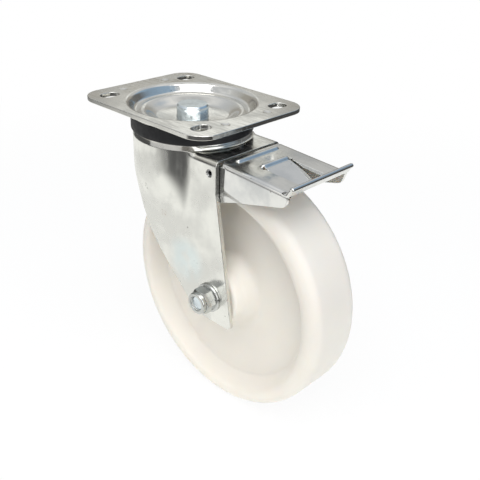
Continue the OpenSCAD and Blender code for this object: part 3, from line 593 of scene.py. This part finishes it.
half_cut = np.vstack([
    spread([(0.0, cut_v + cut_end), (cut_x - 1, cut_v + cut_end)], 1.5),
    arc((cut_x - 1, cut_v + cut_end - 1), 1, 60, 0, 3),
    spread([(cut_x, cut_v), (cut_x, tongue_root + relief_r)], 1.5)[:-1],
    arc((cut_x, tongue_root), relief_r, 85, -225, 13),
    spread([(tongue_half, tongue_root + relief_r), (tongue_half, cut_v)], 1.5),
    spread([(tongue_half - 0.8, cut_v), (0.0, cut_v)], 1.5)])
cut_line = np.vstack([half_cut, (half_cut * (-1, 1))[::-1][1:-1]])
pivot_holes = [on_cheek(arc(pivot_at, 3.05, 0, 345, 24)) * (sign, 1) for sign in (1, -1)]
reach = flat_half + fold_girth + 32
pedal_fill = np.vstack([lattice((-reach, -18), (reach, pedal_l + 5), (1.1, 1.1))]
                       + [lattice((-half - 3, at - 3), (half + 3, at + 3), (0.8, 0.45)) for at, half in ribs])
flat, faces = blank(pedal_line, [cut_line, *pivot_holes], pedal_fill, 0.6)
points, faces, normals = sheet(pedal_skin(*flat.T), faces[:, ::-1], pedal_t, 0.35)


def lip_bar():
    """The turned-up lip: a section in (length, height), with a bend, a flat and a rolled edge, carried
    straight across the pedal and closed by ends with rounded edges."""
    half, lean, bend, bead_r, edge = 33.2, 62.0, 1.6, 1.7, 0.8
    up = np.array([math.cos(math.radians(lean)), math.sin(math.radians(lean))])
    bead = (bend + pedal_t / 2) * up[::-1] * (1, -1) + (0, bend) + 5.0 * up
    hold = math.degrees(math.asin(pedal_t / 2 / bead_r))
    section = np.vstack([[(-3.0, -0.1)], arc((0, bend), bend, -90, lean - 90, 6),
                         arc(bead, bead_r, lean + 180 - hold, lean - 180 + hold, 18),
                         arc((0, bend), bend + pedal_t, lean - 90, -90, 7), [(-3.0, -pedal_t)]])[::-1]
    run = np.roll(section, -1, axis=0) - np.roll(section, 1, axis=0)
    out = run[:, ::-1] * (1, -1) / np.linalg.norm(run, axis=1, keepdims=True)
    near_end = ((-half, 1.0), (0.3 - half, 0.3), (1.0 - half, 0.0))
    far_end = tuple((-x, inset) for x, inset in near_end[::-1])
    rings = []
    for x, inset in near_end + far_end:
        s, z = (pedal_start + (section - edge * inset * out + (pedal_l, 0)) @ np.array([along, above])).T
        rings.append(np.column_stack([0 * s + x, -s, z]))
    points = np.vstack(rings)
    _, cap = blank(section, [], section[:0], 0)
    faces = np.vstack([grid_faces(len(rings), len(section))[:, ::-1], cap,
                       cap[:, ::-1] + len(points) - len(section)])
    return points, faces, normals_of(points, faces)


lip, lip_faces, lip_normals = lip_bar()
zinc_pedal = zinc("zinc_pedal", (0.80, 0.80, 0.78), (0.66, 0.67, 0.67), 0.17, 0.05)
piece("pedal_pressing", np.vstack([points, lip]), np.vstack([faces, lip_faces + len(points)]), zinc_pedal,
      "pedal", "brake_pedal", "zinc_sheet", normals=np.vstack([normals, lip_normals]))

# Wheel
# One moulding of white polyamide: a hub, a thick web and a rim with a rounded tread. The
# plastic is a little translucent, and it turns on a roller bearing.
wheel_r, wheel_half, tread_edge_r, rim_edge_r = 100.0, 25.5, 10.0, 5.0
hub_half, bore_r, web_half = 29.2, 14.1, 10.5


def polyamide():
    """White cast polyamide: milky and slightly see-through, with faint warm clouds and a satin skin
    that shows the fine rings of the mould."""
    finish, tree, surface = shader("wheel_polyamide")
    cloud = between(tree, grain(tree, 16, 3), 0.3, 0.7, 0, 1)
    colour = tinted(tree, cloud, (0.90, 0.86, 0.79), (0.86, 0.82, 0.76))
    tree.links.new(colour, surface.inputs["Base Color"])
    tree.links.new(between(tree, grain(tree, 120, 3), 0.3, 0.7, 0.36, 0.5), surface.inputs["Roughness"])
    surface.inputs["Subsurface Weight"].default_value = 0.5
    surface.inputs["Subsurface Radius"].default_value = (1.0, 0.85, 0.7)
    surface.inputs["Subsurface Scale"].default_value = 0.006
    skin = add(tree, "Bump", {"Height": grain(tree, 700, 2), "Strength": 0.06, "Distance": 0.0002})
    tree.links.new(skin.outputs[0], surface.inputs["Normal"])
    return finish


wheel_line = np.vstack([
    [(bore_r, 0.0), (bore_r, 12.0), (bore_r, hub_half - 1), (bore_r + 1, hub_half)],
    arc((22, hub_half - 3), 3, 90, 15, 8), bezier((26, 22.2), (30, 17.5), (30, web_half), (38, web_half), 16),
    spread([(38, web_half), (76, web_half)], 4.0), arc((77, web_half + 3), 3, -90, -28, 8),
    arc((89.5, wheel_half - rim_edge_r), rim_edge_r, 152, 90, 10),
    arc((wheel_r - tread_edge_r, wheel_half - tread_edge_r), tread_edge_r, 90, 0, 16),
    [(wheel_r, 8.0), (wheel_r, 0.0)]])
wheel_line = np.vstack([wheel_line, (wheel_line * (1, -1))[::-1][1:-1]])
wheel_at = (0.0, -trail, axle_z)
piece("wheel_moulding", *turned(wheel_line, 256, wheel_at, True, True), polyamide(), "wheel", "wheel",
      "wheel_polyamide")

# Wheel bearing
# Steel rollers in a plastic cage run on a steel sleeve round the axle, between two thrust
# washers that keep the hub off the legs.
cage_plastic = plastic("cage_plastic", (0.10, 0.27, 0.17), (0.08, 0.22, 0.14), 0.4, 900)
dress(ball_steel, "rollers")
dress(bright_steel, "axle_sleeve", "near_thrust_washer", "far_thrust_washer")
dress(cage_plastic, "roller_cage")

# Axle
# A zinc-plated hexagon bolt through both legs, with a washer under its head and under a
# self-locking nut, whose round collar is rolled in over a nylon ring.
washer_r, washer_in, washer_x, washer_t = 12.0, 6.05, 34.0, 2.3
hex_half, hex_turn = 9.5, 9.2
nut_x0, nut_x1, collar_x = -36.3, -45.3, -48.5
thread_r, recess_r, face_r, collar_r = 6.02, 7.6, 8.9, 9.0
head_x0, head_x1 = 36.3, 43.8
bolt_r, bolt_end_x = 6.0, -47.1


def ring_line(r_in, r_out, x0, x1, edge):
    """Section of a flat ring between two radii, with its outer edges rounded."""
    return np.vstack([[(r_in, x0)], arc((r_out - edge, x0 + edge), edge, -90, 0, 4),
                      arc((r_out - edge, x1 - edge), edge, 0, 90, 4), [(r_in, x1)]])


def hex_grid(x, limit, segments=240):
    """Hexagonal bar along X: at each angle the radius is the half width over the cosine of the angle
    from the nearest flat, held to the limit that turning left at that height."""
    a = np.linspace(0, 2 * np.pi, segments, endpoint=False)
    flat_a = a % (np.pi / 3) - np.pi / 6
    r = np.minimum(hex_half / np.cos(flat_a), np.asarray(limit, float)[:, None])
    return np.stack([np.asarray(x, float)[:, None] + 0 * r, r * np.cos(a), r * np.sin(a)], -1).reshape(-1, 3)


def bored(points, profile_ends, segments=240):
    """Closes a grid of rings whose first and last ring meet in a ring of their own."""
    faces = grid_faces(len(points) // segments, segments, profile_ends)
    points, faces = weld(points + wheel_at, faces)
    return points, outwards(points, faces)


slope = math.tan(math.radians(30))
corner_r = hex_half / math.cos(math.pi / 6)
turn_h = (corner_r - hex_turn) * slope
nut_steel = steel("nut_steel", (0.60, 0.61, 0.59), (0.46, 0.47, 0.46), 0.16)
washer_steel = steel("washer_steel", (0.62, 0.63, 0.62), (0.50, 0.51, 0.50), 0.24)
for name, sign in (("bolt_washer", 1), ("nut_washer", -1)):
    section = ring_line(washer_in, washer_r, washer_x, washer_x + washer_t, 0.7) * (1, sign)
    piece(name + "_disc", *turned(section, 96, wheel_at, True, True), washer_steel, "fork", name,
          "bright_steel")
steps = np.linspace(0, turn_h, 7)
nut_x = np.concatenate([[nut_x0, nut_x0], nut_x0 - steps, nut_x1 + steps[::-1]])
nut_limit = np.concatenate([[thread_r, face_r], hex_turn + steps / slope, hex_turn + steps[::-1] / slope])
collar = arc((7.9, collar_x + 1.1), 1.1, 0, -90, 8)
collar = np.vstack([[(collar_r, nut_x1 + 0.2)], collar, [(6.9, collar_x)],
                    arc((6.52, collar_x + 0.5), 0.5, -90, -180, 5),
                    [(thread_r, collar_x + 0.8), (recess_r, collar_x + 0.8)],
                    [(recess_r, nut_x1), (thread_r, nut_x1)]])
nut_x, nut_limit = np.concatenate([nut_x, collar[:, 1]]), np.concatenate([nut_limit, collar[:, 0]])
piece("lock_nut", *bored(hex_grid(nut_x, nut_limit), True), nut_steel, "fork", "axle_nut", "nut_steel", 28)
nylon = plastic("insert_nylon", (0.82, 0.82, 0.78), (0.74, 0.74, 0.7), 0.4, 900)
insert_line = ring_line(thread_r, recess_r - 0.02, collar_x + 0.82, nut_x1 - 0.02, 0.2)
piece("nut_ring", *turned(insert_line, 72, wheel_at, True, True), nylon, "fork", "nut_insert", "insert_nylon")
shank = np.array([(0.0, bolt_end_x), (5.0, bolt_end_x), (5.2, bolt_end_x + 0.1), (5.4, bolt_end_x + 1.2),
                  (bolt_r, bolt_end_x + 1.5), (bolt_r, -20.0), (bolt_r, head_x0)])
bolt_x = np.concatenate([shank[:, 1], [head_x0], head_x0 + steps, head_x1 - steps[::-1], [head_x1]])
bolt_limit = np.concatenate([shank[:, 0], [face_r], hex_turn + steps / slope, hex_turn + steps[::-1] / slope,
                             [0.0]])
piece("hexagon_bolt", *bored(hex_grid(bolt_x, bolt_limit), False), bright_steel, "fork", "axle_bolt",
      "bright_steel", 28)

# Studio
# White paper on the floor, soft lights from above, from the front and from the left, a
# room with paler and darker sides for the metal to mirror, and the picture's camera.
floor_size, floor_z_at = 6.0, -0.24
picture_ahead, picture_right = (0.728, 0.685, 0), (0.696, -0.717, 0)


def studio_floor():
    """White paper on a dark studio floor, its front and right edges just outside the picture. The camera
    and reflections see mostly its plain colour, so that only the soft shadow shows on it, and to the
    camera the white goes on past the paper's edges."""
    finish, tree, surface = shader("studio_floor")
    tree.nodes.remove(surface)
    path = add(tree, "LightPath").outputs
    seen = add(tree, "Math", {0: path["Is Glossy Ray"], 1: path["Is Transmission Ray"]},
               operation="MAXIMUM").outputs[0]
    seen = add(tree, "Math", {0: seen, 1: path["Is Camera Ray"]}, operation="MAXIMUM").outputs[0]
    place = add(tree, "TexCoord").outputs["Object"]
    ahead = add(tree, "VectorMath", {0: place, 1: picture_ahead}, operation="DOT_PRODUCT").outputs["Value"]
    aside = add(tree, "VectorMath", {0: place, 1: picture_right}, operation="DOT_PRODUCT").outputs["Value"]
    away = add(tree, "VectorMath", {0: place}, operation="LENGTH").outputs["Value"]
    share = between(tree, away, 0.4, 0.9, 0.9, 1.0)
    share = add(tree, "Math", {0: seen, 1: share}, operation="MULTIPLY").outputs[0]
    paper = (1.0, 1.0, 0.97)
    paper_edges = ((ahead, -0.20, -0.44, 0.11), (aside, 0.33, 0.45, 0.05), (away, 0.68, 1.0, 0.08))
    for value, inner, outer, dark in paper_edges:
        paper = tinted(tree, between(tree, value, inner, outer, 0, 1), paper, (dark, dark, dark))
    paper = tinted(tree, path["Is Camera Ray"], paper, (1.0, 1.0, 1.0))
    matt = add(tree, "BsdfDiffuse", {"Color": paper}).outputs[0]
    white = add(tree, "Emission", {"Color": paper, "Strength": 1.0}).outputs[0]
    mix = add(tree, "MixShader", {0: share, 1: matt, 2: white}).outputs[0]
    tree.links.new(mix, tree.nodes["Material Output"].inputs["Surface"])
    return finish


mesh = bpy.data.meshes.new("studio_floor")
corner = np.array([(-1, -1), (1, -1), (1, 1), (-1, 1)]) * floor_size
mesh.from_pydata([(x, y, floor_z_at) for x, y in corner], [], [(0, 1, 2, 3)])
mesh.materials.append(studio_floor())
floor = bpy.data.objects.new("studio_floor", mesh)
bpy.context.scene.collection.objects.link(floor)

world = bpy.data.worlds.new("pale_room")
bpy.context.scene.world = world
world.use_nodes = True
tree = world.node_tree
outlook = add(tree, "TexCoord").outputs["Generated"]
height = add(tree, "SeparateXYZ", {0: outlook}).outputs["Z"]
ramp = add(tree, "ValToRGB", {"Fac": height})
ramp.color_ramp.elements[0].position, ramp.color_ramp.elements[0].color = 0.0, (0.10, 0.10, 0.10, 1)
ramp.color_ramp.elements[1].position, ramp.color_ramp.elements[1].color = 1.0, (0.50, 0.51, 0.53, 1)
room_greys = ((0.06, (0.12, 0.12, 0.12)), (0.16, (0.36, 0.34, 0.31)), (0.34, (0.40, 0.39, 0.36)),
              (0.43, (0.60, 0.60, 0.59)), (0.68, (0.58, 0.60, 0.63)), (0.88, (0.85, 0.85, 0.85)))
for at, colour in room_greys:
    ramp.color_ramp.elements.new(at).color = (*colour, 1)
side = add(tree, "VectorMath", {0: outlook, 1: picture_right}, operation="DOT_PRODUCT").outputs["Value"]
ahead = add(tree, "VectorMath", {0: outlook, 1: picture_ahead}, operation="DOT_PRODUCT").outputs["Value"]
glow = ramp.outputs[0]
window = 1.0
for value, span in ((side, (-0.21, -0.15, 0, 1)), (side, (0.04, 0.09, 1, 0)), (height, (0.275, 0.305, 0, 1)),
                    (height, (0.36, 0.42, 1, 0))):
    window = add(tree, "Math", {0: between(tree, value, *span), 1: window}, operation="MULTIPLY").outputs[0]
glow = tinted(tree, window, glow, (0.95, 0.96, 0.93))
sky = tinted(tree, between(tree, height, 0.28, 0.5, 0, 1), (0.15, 0.15, 0.15), (0.30, 0.42, 0.56))
room = tinted(tree, between(tree, side, 0.38, 0.62, 0, 1), glow, sky)
behind = between(tree, ahead, -0.6, -0.25, 0.85, 0)
dusk = add(tree, "Math", {0: behind, 1: between(tree, height, 0.42, 0.62, 1, 0)},
           operation="MULTIPLY").outputs[0]
room = tinted(tree, dusk, room, (0.14, 0.13, 0.12))
room = tinted(tree, add(tree, "LightPath").outputs["Is Camera Ray"], room, (1.0, 1.0, 1.0))
tree.links.new(room, tree.nodes["Background"].inputs["Color"])
tree.nodes["Background"].inputs["Strength"].default_value = 1.0


def soft_light(name, place, target, size, power):
    """A large square area light at a place, facing a target."""
    lamp = bpy.data.lights.new(name, "AREA")
    lamp.size, lamp.energy = size, power
    obj = bpy.data.objects.new(name, lamp)
    back = (np.array(place) - target) / np.linalg.norm(np.array(place) - target)
    side = np.cross((0, 0, 1) if abs(back[2]) < 0.99 else (0, 1, 0), back)
    side = side / np.linalg.norm(side)
    turn = np.column_stack([side, np.cross(back, side), back])
    obj.matrix_world = Matrix.Translation(place) @ Matrix(turn.tolist()).to_4x4()
    bpy.context.scene.collection.objects.link(obj)


soft_light("overhead", (-0.45, -0.4, 1.05), (0, -0.03, -0.1), 1.1, 9.0)
soft_light("front", (-0.35, -1.25, 0.1), (0, -0.05, -0.13), 1.3, 9.0)
soft_light("left", (-1.3, 0.1, 0.05), (0, -0.05, -0.17), 1.6, 4.2)

eye = np.array([-353.213, -387.767, 156.843]) * MM
right_axis = np.array([0.69623445, -0.7172247, 0.02909164])
up_axis = np.array([0.31954556, 0.34597508, 0.88215185])
back_axis = np.array([-0.64276607, -0.6048884, 0.47006574])
lens = bpy.data.cameras.new("camera")
lens.sensor_width, lens.lens = 36.0, 51.72
lens.clip_start = 0.01
camera = bpy.data.objects.new("camera", lens)
camera.matrix_world = Matrix.Translation(eye) @ Matrix(
    np.column_stack([right_axis, up_axis, back_axis]).tolist()).to_4x4()
bpy.context.scene.collection.objects.link(camera)
bpy.context.scene.camera = camera
bpy.context.scene.view_settings.view_transform = "Standard"
